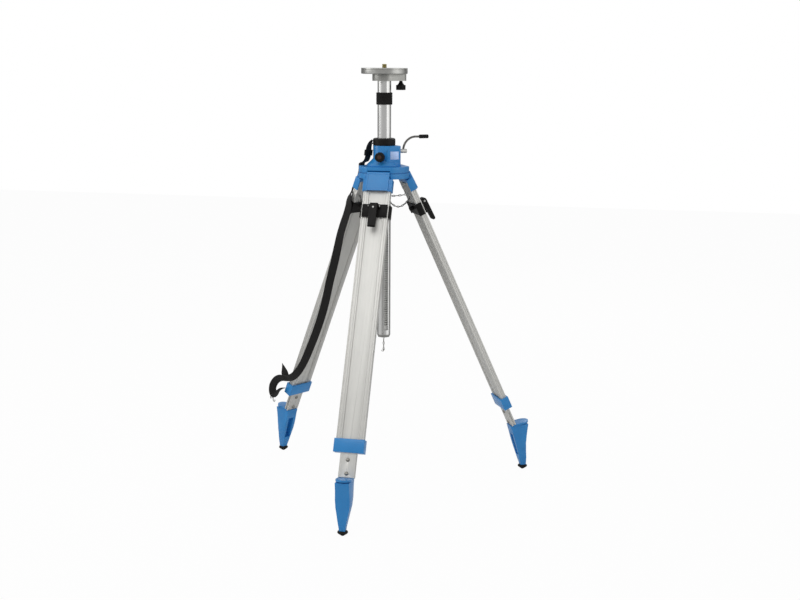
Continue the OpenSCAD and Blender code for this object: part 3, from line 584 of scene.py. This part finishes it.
def makeFloor():
    bm = bmesh.new()
    bmesh.ops.create_grid(bm, x_segments=2, y_segments=2, size=9)
    mesh = bpy.data.meshes.new("floor")
    bm.to_mesh(mesh)
    bm.free()
    floor = bpy.data.objects.new("floor", mesh)
    scene.collection.objects.link(floor)
    made = bpy.data.materials.new("paleFloor")
    made.use_nodes = True
    tree = made.node_tree
    root = Wire(tree)
    shader = tree.nodes["Principled BSDF"]
    shader.inputs["Base Color"].default_value = (0.86, 0.86, 0.86, 1)
    shader.inputs["Roughness"].default_value = 0.9
    shader.inputs["Specular IOR Level"].default_value = 0.1
    path = root.node("ShaderNodeLightPath")
    glow = root.node("ShaderNodeEmission", inputs={"Color": rgba(1, 1, 1), "Strength": 1.0})
    part = path * floorGlow
    glossy = Wire(tree, path.socket.node.outputs["Is Glossy Ray"])
    place = objectPlace(root)
    x = place.part(0)
    y = place.part(1)
    away = (((x * x + y * y).maths("SQRT") - 0.9) * 1.2).clamped()
    backdrop = root.node("ShaderNodeEmission", inputs={
        "Color": rgba(1, 1, 1), "Strength": surroundings(place)})
    far = root.node("ShaderNodeMixShader", inputs={0: glossy * away, 2: backdrop})
    tree.links.new(shader.outputs[0], far.socket.node.inputs[1])
    mix = root.node("ShaderNodeMixShader", inputs={0: part, 2: glow})
    tree.links.new(far.socket, mix.socket.node.inputs[1])
    tree.links.new(mix.socket, tree.nodes["Material Output"].inputs["Surface"])
    mesh.materials.append(made)


makeFloor()

print("head")

headSize = dict(bore=8.0, groove=0.7, lip=0.62)
head = {
    "low": corner("head_plate", 0, 2) / mm,
    "high": corner("head_plate", 1, 2) / mm,
    "radius": halfWidth("head_plate") / mm,
}


def headPlate():
    low, high, radius = head["low"], head["high"], head["radius"]
    profile = [(headSize["bore"], low), (radius * 0.93, low)]
    profile += arc((radius - 2, low + 2.6), 2, -70, 0, 4)
    groove = headSize["groove"]
    profile += [(radius, high - 6.4), (radius - groove, high - 5.9),
                (radius - groove, high - 5.1), (radius, high - 4.6)]
    profile += arc((radius - 1.2, high - 1.2), 1.2, 0, 90, 4)
    lip = radius * headSize["lip"]
    profile += [(lip, high), (lip - groove, high - 0.5),
                (radius * 0.6, high - 0.5), (radius * 0.6 - groove, high)]
    profile += [(headSize["bore"] + 0.8, high), (headSize["bore"], high - 0.8)]
    piece("headPlate", turnedShape(profile, 128, closed=True), "column", turned,
          ["head_plate"])


# a 5/8 inch screw with 11 threads to the inch
thread = dict(radius=7.9, pitch=25.4 / 11, depth=1.1, stem=4.98, sunk=8, tip=1.2)


def instrumentScrew():
    low = corner("instrument_screw", 0, 2) / mm
    top = corner("instrument_screw", 1, 2) / mm
    radius, pitch, stem, tip = thread["radius"], thread["pitch"], thread["stem"], thread["tip"]
    neck = head["high"] - thread["sunk"]
    shoulder = corner("screw_gear", 1, 2) / mm
    profile = [(0, low), (stem, low), (stem, shoulder), (radius - 0.9, shoulder),
               (radius, shoulder + 0.9), (radius, neck)]
    turns = int((top - tip - neck) / pitch)
    for i in range(turns):
        z = neck + (top - tip - neck) * i / turns
        profile += [(radius, z + 0.3), (radius - thread["depth"], z + pitch * 0.5), (radius, z + pitch * 0.9)]
    profile += [(radius - 0.2, top - 1), (radius - tip, top), (2.5, top), (2.2, top - 0.8), (0, top - 0.8)]
    piece("instrumentScrew", turnedShape(profile, 48), "instrument_screw", brass,
          ["instrument_screw"])


def starKnob():
    # a lobed head under a conical neck
    bm = cleaned("screw_knob")
    soften(bm, 0.5 * mm, 2)
    piece("starKnob", bm, "screw_knob", plastic, ["screw_knob"], smooth=40)


def gearCase():
    finishNode("gear_case", cast, 1.2, 3, name="gearCase")
    for name in ("screw_gear", "idler_gear", "drive_gear", "case_screws"):
        paintNode(name, steel)


headPlate()
instrumentScrew()
starKnob()
gearCase()

print("column")

ringLook = dict(ribs=7, depth=0.9, groove=1.6, gap=0.05)


def stopRing():
    low = corner("stop_ring", 0, 2) / mm
    high = corner("stop_ring", 1, 2) / mm
    radius = halfWidth("stop_ring") / mm
    inner = halfWidth("column_tube") / mm + ringLook["gap"]
    profile = [(inner, low)] + arc((radius - 2.5, low + 2.5), 2.5, -90, 0, 4)
    step = (high - low - 8) / ringLook["ribs"]
    for i in range(ringLook["ribs"]):
        z = low + 4 + step * i
        floor = radius - ringLook["depth"]
        profile += [(radius, z), (floor, z + 0.5), (floor, z + ringLook["groove"] - 0.3),
                    (radius, z + ringLook["groove"] + 0.2)]
    profile += arc((radius - 2.5, high - 2.5), 2.5, 0, 90, 4) + [(inner, high)]
    piece("stopRing", turnedShape(profile, 72, closed=True), "column", rubber, ["stop_ring"])


def setScrew():
    # a socket screw that locks the tube in the gear case
    low = corner("gear_case", 0, 2)
    radius = halfWidth("column_tube")
    for turn in (-100, 80):
        out = Vector((math.cos(math.radians(turn)), math.sin(math.radians(turn)), 0))
        place = placed(out * (radius - 0.002) + up * (low - 0.007), up.cross(out), up, out)
        profile = [(0, 0), (3.4, 0), (3.4, 2.6), (3.0, 3.2), (1.7, 3.2), (1.7, 1.2), (0, 1.2)]
        piece(f"setScrew{turn + 100}", turnedShape(profile, 24), "column", steel, place=place)


stopRing()
setScrew()
paintNode("column_tube", tubeMetal)
paintNode("column_rack", steel)
finishNode("tube_cap", cast, 0.4, name="tubeCap")

chainLook = dict(wire=1.3, length=13, width=6.8)


def chainLink(place):
    half = chainLook["length"] / 2 - chainLook["width"] / 2
    bend = chainLook["width"] / 2 - chainLook["wire"]
    loop = [(x, y + half, 0) for x, y in arc((0, 0), bend, 0, 180, 6)]
    loop += [(x, y - half, 0) for x, y in arc((0, 0), bend, 180, 360, 6)]
    bm = pipe([Vector(p) * mm for p in loop], chainLook["wire"], Vector((0, 0, 1)), 6, closed=True)
    bmesh.ops.transform(bm, matrix=place, verts=bm.verts)
    return bm


plumb = dict(wire=0.9, drop=22, hook=3.5, links=3)


def plumbHook():
    # a bail over the cross pin, three links and the hook for the line
    pin = jointPoint("plumb_swing")
    bend = (corner("plumb_hook", 1, 0) - pin.x) / mm - plumb["wire"]
    low = (corner("plumb_hook", 0, 2) - pin.z) / mm + 1
    bail = [(0.5, 0, -plumb["drop"])] + [(x, 0, z) for x, z in arc((0, 0), bend, 0, 180, 10)]
    bail += [(-0.5, 0, -plumb["drop"])]
    parts = [pipe([Vector(p) * mm for p in bail], plumb["wire"], Vector((0, 1, 0)), 8)]
    start = low + plumb["hook"]
    pitch = (-plumb["drop"] - start) / plumb["links"]
    for i in range(plumb["links"]):
        at = Vector((0, 0, start + pitch * (i + 0.5))) * mm
        side = Vector((1, 0, 0)) if i % 2 else Vector((0, 1, 0))
        parts.append(chainLink(placed(at, up.cross(side), up, side)))
    bow = [(0, 0, start + 4)]
    bow += [(x, 0, z) for x, z in arc((-plumb["hook"], start), plumb["hook"], 0, -210, 14)]
    parts.append(pipe([Vector(p) * mm for p in bow], 1.0, Vector((0, 1, 0)), 8))
    whole = joined(*parts)
    piece("plumbHook", whole, "plumb_hook", headSteel, ["plumb_hook"],
          place=Matrix.Translation(pin), smooth=60)


plumbHook()

print("housing and crown")

shaftAxis = jointAxis("crank_turn")
faceOut = shaftAxis.cross(up)


rivetReach = dict(across=12.6, up=11)


def housing():
    finishNode("housing", blue, 1.6, 3, name="housingCasting")
    finishNode("name_plate", plate, 0.3, name="namePlate")
    low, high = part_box("name_plate")
    centre = (low + high) / 2
    for side in (-1, 1):
        for level in (-1, 1):
            at = centre + shaftAxis * side * rivetReach["across"] * mm + up * level * rivetReach["up"] * mm
            place = placed(at + faceOut * 0.5 * mm, shaftAxis, up, faceOut)
            profile = [(0, 0), (1.3, 0), (1.25, 0.5), (0.8, 0.9), (0, 1.05)]
            piece(f"plateRivet{side}_{level}", turnedShape(profile, 16), "frame", steel,
                  place=place)


collarLook = dict(gap=0.25, eyeTurn=196, eyeRise=11)


def guideCollar():
    low = corner("guide_collar", 0, 2) / mm
    high = corner("guide_collar", 1, 2) / mm
    radius = corner("guide_collar", 1, 0) / mm
    inner = halfWidth("column_tube") / mm + collarLook["gap"]
    profile = [(inner, low), (radius - 1.2, low), (radius - 0.4, low + 0.8), (radius - 0.4, low + 4.5),
               (radius, low + 5), (radius, high - 6)]
    profile += arc((radius - 6, high - 6), 6, 10, 90, 6)
    profile += [(inner + 3.4, high), (inner + 2.4, high - 1.6), (inner + 1, high - 1.6), (inner, high - 2.4)]
    ring = turnedShape(profile, 96, closed=True)
    rim = [(2.4, -6)] + arc((4.2, -4.2), 1.8, -90, 0, 3) + arc((4.2, 4.2), 1.8, 0, 90, 3) + [(2.4, 6)]
    eye = turnedShape(rim, 28, closed=True)
    turn = math.radians(collarLook["eyeTurn"])
    out = Vector((math.cos(turn), math.sin(turn), 0))
    at = out * (radius + 0.5) * mm + up * (low + collarLook["eyeRise"]) * mm
    bmesh.ops.transform(eye, matrix=placed(at, out, up, out.cross(up)), verts=eye.verts)
    piece("guideCollar", joined(ring, eye), "frame", plastic, ["guide_collar"])


def lockKnob():
    bm = cleaned("lock_knob")
    soften(bm, 0.7 * mm, 2)
    piece("lockKnob", bm, "lock_knob", plastic, ["lock_knob"], smooth=40)
    axis = jointAxis("lock_knob_turn")
    front = corner("lock_knob", 0, 1)
    at = Vector((0, front, jointPoint("lock_knob_turn").z))
    profile = [(0, -1.2), (7.2, -1.2), (7.2, 0.1), (6.6, 0.7), (0, 1.1)]
    side = up.cross(axis)
    piece("lockKnobCap", turnedShape(profile, 40), "lock_knob", brown,
          place=placed(at, side, axis.cross(side), axis))


def crown():
    finishNode("crown", blue, 1.4, 3, name="crownCasting")
    finishNode("clamp_ring", blue, 1.2, 3, name="clampRing")
    paintNode("crown_bolts", steel)
    paintNode("hinge_pins", steel)
    paintNode("brake_shoe", brass)


housing()
guideCollar()
lockKnob()
crown()

print("crank")

gripLook = dict(ribs=6, half=16.5, bore=3.3)


def crank():
    paintNode("pinion_shaft", steel)
    bm = cleaned("crank_arm")
    piece("crankArm", bm, "crank", armSteel, ["crank_arm"], smooth=40)
    grip = jointPoint("grip_spin")
    corners = [Vector((x, y, 0)) for x in (corner("crank_grip", 0, 0), corner("crank_grip", 1, 0))
               for y in (corner("crank_grip", 0, 1), corner("crank_grip", 1, 1))]
    reach = [(c - grip).dot(shaftAxis) for c in corners]
    middle = (min(reach) + max(reach)) / 2 / mm
    high = (corner("crank_grip", 1, 2) - corner("crank_grip", 0, 2)) / 2 / mm
    half, bore = gripLook["half"], gripLook["bore"]
    profile = [(bore, -half)] + arc((high - 1.8, -half + 1.8), 1.8, -90, 0, 3)
    for i in range(gripLook["ribs"]):
        z = -half + 6 + i * (2 * half - 12) / (gripLook["ribs"] - 1)
        profile += [(high, z - 1), (high - 0.6, z - 0.5), (high - 0.6, z + 0.5), (high, z + 1)]
    profile += arc((high - 2.5, half - 2.5), 2.5, 0, 90, 4) + [(0, half), (0, half - 2), (bore, half - 2)]
    side = up.cross(shaftAxis)
    at = grip + shaftAxis * middle * mm
    at.z = (corner("crank_grip", 0, 2) + corner("crank_grip", 1, 2)) / 2
    piece("crankGrip", turnedShape(profile, 40, closed=True), "crank_grip", plastic,
          ["crank_grip"], place=placed(at, side, shaftAxis.cross(side), shaftAxis))


crank()

print("legs")

panel = dict(inset=4.5, depth=1.4, rim=0.5)


def recess(bm, place, direction):
    # sinks the largest face that looks along direction, inside a rim
    out = place.to_3x3() @ Vector(direction)
    facing = [f for f in bm.faces if f.normal.dot(out) > 0.97]
    if not facing:
        return
    face = max(facing, key=lambda f: f.calc_area())
    bmesh.ops.inset_region(bm, faces=[face], thickness=panel["inset"] * mm, use_even_offset=True)
    bmesh.ops.inset_region(bm, faces=[face], thickness=panel["rim"] * mm, depth=-panel["depth"] * mm,
                           use_even_offset=True)


def bracketPiece(name, place):
    node = name + "_bracket"
    bm = cleaned(node)
    recess(bm, place, (1, 0, 0.05))
    soften(bm, 1.3 * mm, 3)
    piece(node + "Finish", bm, nodes[node]["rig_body"], blue, [node], own=place)


leverLook = dict(bolt=18.2, screwOut=10.8, screwDown=7)


def legPieces(name):
    leg = name + "_leg"
    foot = name + "_extension"
    place = legPlace(name)
    bracketPiece(name, place)
    finishNode(name + "_sleeve", blue, 1.1, 3, own=place)
    finishNode(name + "_rails", railMetal, 0.35, 2, own=place)
    finishNode(name + "_tongue", railMetal, 0.35, 2, own=place)
    finishNode(name + "_clamp", blackMetal, 1.0, 2, own=place)
    finishNode(name + "_lever", plastic, 1.6, 3, own=place)
    finishNode(name + "_tension_knob", plastic, 0.5, 2, own=place)
    finishNode(name + "_foot", blue, 1.6, 3, own=place)
    finishNode(name + "_tip", rubber, 0.5, 2, own=place)
    paintNode(name + "_rivets", headSteel)
    pin = jointPoint(name + "_lever_turn")
    across = jointAxis(name + "_fold")
    out = place.to_3x3() @ Vector((1, 0, 0))
    for side in (-1, 1):
        at = pin + across * side * leverLook["bolt"] * mm
        axis = across * side
        profile = [(0, 0), (4, 0), (4, 1.6), (3.4, 2.4), (1.4, 2.4), (1.2, 1.5), (0, 1.5)]
        piece(f"{name}LeverBolt{side}", turnedShape(profile, 24), foot, steel,
              place=placed(at, out, axis.cross(out), axis))


def leverScrew(name):
    place = legPlace(name)
    out = place.to_3x3() @ Vector((1, 0, 0))
    along = place.to_3x3() @ Vector((0, 0, 1))
    pin = jointPoint(name + "_lever_turn")
    at = pin + out * leverLook["screwOut"] * mm - along * leverLook["screwDown"] * mm
    profile = [(0, 0), (3.4, 0), (3.4, 1.2), (2.6, 2.2), (1.1, 2.6), (0.9, 1.8), (0, 1.8)]
    piece(name + "LeverScrew", turnedShape(profile, 24), name + "_lever", steel,
          place=placed(at, along.cross(out), along, out))


for legName in legNames:
    legPieces(legName)
    leverScrew(legName)

print("strap")

strapLook = dict(width=29, thick=2.2, columns=6)


def polar(r, a, z):
    return Vector((r * math.cos(math.radians(a)), r * math.sin(math.radians(a)), z)) * mm


def faceOf(a):
    return Vector((math.cos(math.radians(a)), math.sin(math.radians(a)), 0))


strapHigh = [
    (40, 196, 1224, 88), (46, 196, 1218, 84), (50, 195, 1208, 74), (53, 194, 1195, 67), (54, 193.5, 1181, 65),
    (56, 193, 1168, 66), (60, 189, 1157, 68), (67, 181, 1150, 70), (77, 171, 1146, 71),
    (87, 164, 1142, 70), (93, 161, 1134, 66)]
strapLow = [
    ((29.5, 13, -16), (0, -1, 0)), ((28, 13, -42), (0, -1, 0)), ((27.5, 16, -66), (0, -1, 0)),
    ((25, 32, -84), (0.35, -0.93, -0.1)), ((14, 51, -98), (0.75, -0.6, -0.25)),
    ((2, 60, -113), (0.93, -0.25, -0.3)), ((-7, 62, -130), (0.95, 0, -0.35)),
    ((-12, 64, -160), (0.93, 0.1, -0.38)), ((-14, 66, -195), (0.9, 0.15, -0.4)),
    ((-16, 66, -240), (0.9, 0.2, -0.4)), ((-23, 66, -289), (0.8, 0.4, -0.35)),
    ((-31, 66, -349), (0.7, 0.6, -0.3)), ((-38, 66, -420), (0.65, 0.7, -0.3)),
    ((-50, 66, -510), (0.65, 0.7, -0.3)), ((-54, 66, -605), (0.65, 0.7, -0.3)),
    ((-49, 66, -712), (0.65, 0.7, -0.3)), ((-41, 66, -785), (0.6, 0.75, -0.3)),
    ((-28, 69, -835), (0.75, 0.6, 0.2)), ((-8, 69, -866), (0.75, 0.5, 0.5)),
    ((18, 67, -886), (0.55, 0.5, 0.75)), ((42, 66, -902), (0.55, 0.5, 0.75)),
    ((59, 65.4, -924), (0.75, 0.5, 0.45)), ((66, 65.4, -952), (0.85, 0.5, -0.1)),
    ((61, 65.4, -973), (0.7, 0.5, -0.5)), ((50, 65.4, -982), (0, 0.6, -0.8)),
    ((38, 65.4, -972), (-0.7, 0.6, -0.5)), ((28, 65.4, -954), (-0.7, 0.7, -0.2)),
    ((16, 65.4, -934), (0, 1, 0))]


def smoothRoute(points, parts):
    # Catmull-Rom curve through (place, width direction) pairs
    made = []
    count = len(points)
    for i in range(count - 1):
        four = [points[max(i - 1, 0)], points[i], points[i + 1], points[min(i + 2, count - 1)]]
        for j in range(parts):
            t = j / parts
            weights = [(-t + 2 * t * t - t ** 3) / 2, (2 - 5 * t * t + 3 * t ** 3) / 2,
                       (t + 4 * t * t - 3 * t ** 3) / 2, (t ** 3 - t * t) / 2]
            made.append(tuple(sum((w * f[k] for w, f in zip(weights, four)), Vector()) for k in (0, 1)))
    return made + [points[-1]]


def ribbon(route, width, columns, taper=0):
    # an open sheet along the route, with millimetres across and along in ownPlace
    left = sum((b[0] - a[0]).length for a, b in zip(route, route[1:])) / mm
    bm = bmesh.new()
    layer = bm.verts.layers.float_vector.new("ownPlace")
    lateral = [width * (i / columns - 0.5) for i in range(columns + 1)]
    distance = 0
    row = []
    for i, (spot, face) in enumerate(route):
        ahead = (route[min(i + 1, len(route) - 1)][0] - route[max(i - 1, 0)][0]).normalized()
        side = (face - ahead * face.dot(ahead)).normalized()
        if i == 0:
            row = [bm.verts.new(spot + side * x * mm) for x in lateral]
            edges = [bm.edges.new(pair) for pair in zip(row, row[1:])]
        else:
            distance += (spot - route[i - 1][0]).length / mm
            grown = bmesh.ops.extrude_edge_only(bm, edges=edges)["geom"]
            fresh = [g for g in grown if isinstance(g, bmesh.types.BMVert)]
            edges = [g for g in grown if isinstance(g, bmesh.types.BMEdge)]
            row = sorted(fresh, key=lambda v: min(range(len(row)), key=lambda n: (row[n].co - v.co).length))
            narrow = min(1, max(0.06, (left - distance) / taper)) if taper else 1
            for v, x in zip(row, lateral):
                v.co = spot + side * x * narrow * mm
        for v, x in zip(row, lateral):
            v[layer] = (x, distance, 0)
    return bm


tailRoute = [((6, 69.5, -884), (0.6, 0.3, -0.7)), ((18, 70, -874), (0.62, 0.3, -0.7)),
             ((30, 70, -862), (0.66, 0.25, -0.7)), ((42, 69, -851), (0.7, 0.2, -0.68)),
             ((54, 68, -842), (0.7, 0.1, -0.7))]


def thicken(made):
    skin = made.modifiers.new("thickness", "SOLIDIFY")
    skin.thickness = strapLook["thick"] * mm
    skin.offset = 0
    edge = made.modifiers.new("edge", "BEVEL")
    edge.width = 0.6 * mm
    edge.segments = 2
    edge.limit_method = "ANGLE"


def strapTail():
    # the free end, cut to a point
    leg = legPlace("left")
    points = [(leg @ (Vector(p) * mm), leg.to_3x3() @ Vector(w).normalized()) for p, w in tailRoute]
    bm = ribbon(smoothRoute(points, 4), strapLook["width"], strapLook["columns"], taper=34)
    thicken(piece("strapTail", bm, "left_leg", cloth, smooth=60))


def strap():
    leg = legPlace("left")
    points = [(polar(r, a, z), faceOf(w)) for r, a, z, w in strapHigh]
    points += [(leg @ (Vector(p) * mm), leg.to_3x3() @ Vector(w).normalized()) for p, w in strapLow]
    route = smoothRoute(points, 6)
    bm = ribbon(route, strapLook["width"], strapLook["columns"])
    made = piece("carryStrap", bm, None, cloth, ["strap_upper", "strap_lower"], smooth=60)
    thicken(made)
    inLeg("left", 20, 30, 10)
    inLeg("left", 20, 30, -50)
    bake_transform(made)
    finishNode("strap_buckle", plastic, 0.7, name="strapBuckle")
    finishNode("strap_hook", steel, 0.15, name="strapHook", angle=60)


strap()
strapTail()

print("chains")

chainRuns = [("front", "right", 30), ("right", "left", 6), ("left", "front", 26)]
eye = dict(out=-16, across=34, down=-84, ring=3.2)


def chains():
    for first, second, drop in chainRuns:
        a = inLeg(first, eye["out"], eye["across"], eye["down"])
        b = inLeg(second, eye["out"], -eye["across"], eye["down"])
        fine = [a.lerp(b, i / 80) - up * (4 * drop * mm * (i / 80) * (1 - i / 80)) for i in range(81)]
        total = sum((q - p).length for p, q in zip(fine, fine[1:]))
        count = 2 * round(total / (2 * (chainLook["length"] - 2 * chainLook["wire"]) * mm))
        pitch = total / count
        halves = [[], []]
        gone, step = 0, 0
        for i in range(count):
            middle = pitch * (i + 0.5)
            while step < 79 and gone + (fine[step + 1] - fine[step]).length < middle:
                gone += (fine[step + 1] - fine[step]).length
                step += 1
            at = fine[step].lerp(fine[step + 1], (middle - gone) / (fine[step + 1] - fine[step]).length)
            along = (fine[step + 1] - fine[step]).normalized()
            side = along.cross(up).normalized()
            flat = side if i % 2 else side.cross(along)
            halves[0 if i < count / 2 else 1].append(chainLink(placed(at, along.cross(flat), along, flat)))
        for part, leg, end in ((halves[0], first, a), (halves[1], second, b)):
            name = f"{first}{second.title()}Chain{leg.title()}"
            made = piece(name, joined(*part), None, armSteel)
            leg + "_leg"
            a.lerp(b, 0.5) - up * drop * mm
            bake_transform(made)
            if first == "front" and leg == "front":
                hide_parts("spread_chains")
    for leg in legNames:
        for side in (-1, 1):
            ring = [(x, 0, z) for x, z in arc((0, 0), eye["ring"], 0, 330, 11)]
            bm = pipe([Vector(p) * mm for p in ring], 1.0, Vector((0, 1, 0)), 8, closed=True)
            spot = Vector((eye["out"] + 2, side * eye["across"], eye["down"])) * mm
            place = legPlace(leg) @ Matrix.Translation(spot)
            piece(f"{leg}ChainEye{side}", bm, leg + "_leg", steel, place=place)


chains()
